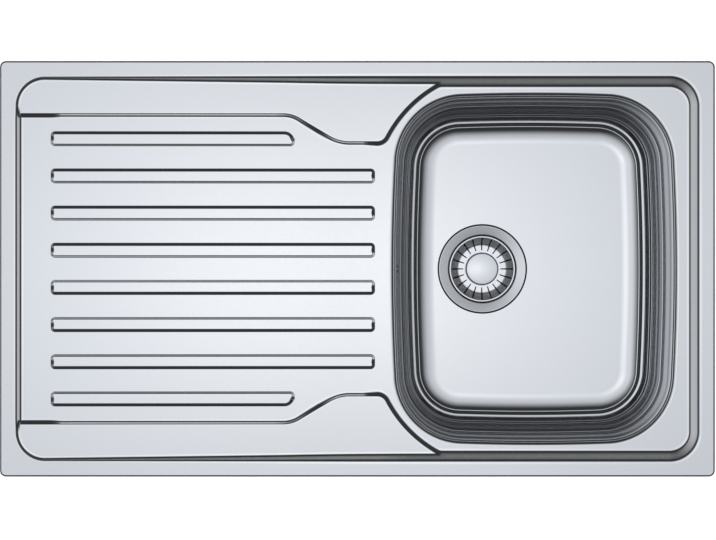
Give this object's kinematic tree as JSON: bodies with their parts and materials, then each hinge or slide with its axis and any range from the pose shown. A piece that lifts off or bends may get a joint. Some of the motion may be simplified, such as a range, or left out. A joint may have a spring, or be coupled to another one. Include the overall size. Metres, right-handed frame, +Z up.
{
  "type": "inset kitchen sink",
  "caption": "Inset stainless steel kitchen sink with a deep bowl, ribbed drainer, lift-out basket strainer with stopper, overflow, rim seal and worktop clamps.",
  "frame": {"origin": "centre of the sink's outline on the worktop, at the underside of the rim seal", "axes": "+X from the drainer to the bowl, +Y to the rear, +Z up"},
  "size_m": [0.86, 0.5, 0.2724],
  "materials": {
    "deck_steel": "satin pressed sheet",
    "bowl_steel": "satin drawn sheet",
    "strainer_steel": "turned satin",
    "stem_steel": "machined",
    "clamp_zinc": "zinc plated",
    "lug_steel": "pressed strip",
    "seal_foam": "closed-cell foam",
    "pad_felt": "bitumen pad",
    "gasket_rubber": "matt",
    "waste_plastic": "moulded",
    "insert_brass": "machined"
  },
  "bodies": {
    "sink": {"deck": "deck_steel", "bowl": "bowl_steel", "rim_seal": "seal_foam", "drainer_pad": "pad_felt", "bowl_pad": "pad_felt", "clamp_lugs": "lug_steel", "strainer_flange": "strainer_steel", "flange_gasket": "gasket_rubber", "body_gasket": "gasket_rubber", "waste_body": "waste_plastic", "hub_insert": "insert_brass", "fixing_screw": "stem_steel", "overflow_box": "waste_plastic", "overflow_gasket": "gasket_rubber", "overflow_screw": "stem_steel", "overflow_pipe": "waste_plastic", "pipe_seal": "gasket_rubber", "pipe_nut": "waste_plastic"},
    "basket": {"strainer_basket": "strainer_steel"},
    "stopper": {"strainer_cap": "strainer_steel", "strainer_stem": "stem_steel", "stopper_seal": "gasket_rubber", "stopper_washer": "stem_steel", "stem_nut": "stem_steel"},
    "clamp_1": {"clamp_screw_1": "clamp_zinc"},
    "claw_1": {"clamp_claw_1": "clamp_zinc"},
    "clamp_2": {"clamp_screw_2": "clamp_zinc"},
    "claw_2": {"clamp_claw_2": "clamp_zinc"},
    "clamp_3": {"clamp_screw_3": "clamp_zinc"},
    "claw_3": {"clamp_claw_3": "clamp_zinc"},
    "clamp_4": {"clamp_screw_4": "clamp_zinc"},
    "claw_4": {"clamp_claw_4": "clamp_zinc"},
    "clamp_5": {"clamp_screw_5": "clamp_zinc"},
    "claw_5": {"clamp_claw_5": "clamp_zinc"},
    "clamp_6": {"clamp_screw_6": "clamp_zinc"},
    "claw_6": {"clamp_claw_6": "clamp_zinc"},
    "clamp_7": {"clamp_screw_7": "clamp_zinc"},
    "claw_7": {"clamp_claw_7": "clamp_zinc"},
    "clamp_8": {"clamp_screw_8": "clamp_zinc"},
    "claw_8": {"clamp_claw_8": "clamp_zinc"}
  },
  "joints": [
    {"name": "basket_lift", "type": "slide", "parent": "sink", "child": "basket", "axis": [0, 0, 1], "range_m": [0, 0.215]},
    {"name": "stopper_lift", "type": "slide", "parent": "basket", "child": "stopper", "axis": [0, 0, 1], "range_m": [0, 0.008]},
    {"name": "clamp_rise_1", "type": "slide", "parent": "sink", "child": "clamp_1", "axis": [0, 0, 1], "range_m": [0, 0.017]},
    {"name": "claw_swing_1", "type": "hinge", "parent": "clamp_1", "child": "claw_1", "pos_m": [-0.3, 0.222, -0.06], "axis": [0, 0, 1], "range_deg": [0, 90]},
    {"name": "clamp_rise_2", "type": "slide", "parent": "sink", "child": "clamp_2", "axis": [0, 0, 1], "range_m": [0, 0.017]},
    {"name": "claw_swing_2", "type": "hinge", "parent": "clamp_2", "child": "claw_2", "pos_m": [0, 0.222, -0.06], "axis": [0, 0, 1], "range_deg": [0, 90]},
    {"name": "clamp_rise_3", "type": "slide", "parent": "sink", "child": "clamp_3", "axis": [0, 0, 1], "range_m": [0, 0.017]},
    {"name": "claw_swing_3", "type": "hinge", "parent": "clamp_3", "child": "claw_3", "pos_m": [0.3, 0.222, -0.06], "axis": [0, 0, 1], "range_deg": [0, 90]},
    {"name": "clamp_rise_4", "type": "slide", "parent": "sink", "child": "clamp_4", "axis": [0, 0, 1], "range_m": [0, 0.017]},
    {"name": "claw_swing_4", "type": "hinge", "parent": "clamp_4", "child": "claw_4", "pos_m": [0.3, -0.222, -0.06], "axis": [0, 0, 1], "range_deg": [0, 90]},
    {"name": "clamp_rise_5", "type": "slide", "parent": "sink", "child": "clamp_5", "axis": [0, 0, 1], "range_m": [0, 0.017]},
    {"name": "claw_swing_5", "type": "hinge", "parent": "clamp_5", "child": "claw_5", "pos_m": [0, -0.222, -0.06], "axis": [0, 0, 1], "range_deg": [0, 90]},
    {"name": "clamp_rise_6", "type": "slide", "parent": "sink", "child": "clamp_6", "axis": [0, 0, 1], "range_m": [0, 0.017]},
    {"name": "claw_swing_6", "type": "hinge", "parent": "clamp_6", "child": "claw_6", "pos_m": [-0.3, -0.222, -0.06], "axis": [0, 0, 1], "range_deg": [0, 90]},
    {"name": "clamp_rise_7", "type": "slide", "parent": "sink", "child": "clamp_7", "axis": [0, 0, 1], "range_m": [0, 0.017]},
    {"name": "claw_swing_7", "type": "hinge", "parent": "clamp_7", "child": "claw_7", "pos_m": [0.402, 0, -0.06], "axis": [0, 0, 1], "range_deg": [0, 90]},
    {"name": "clamp_rise_8", "type": "slide", "parent": "sink", "child": "clamp_8", "axis": [0, 0, 1], "range_m": [0, 0.017]},
    {"name": "claw_swing_8", "type": "hinge", "parent": "clamp_8", "child": "claw_8", "pos_m": [-0.402, 0, -0.06], "axis": [0, 0, 1], "range_deg": [0, 90]}
  ]
}
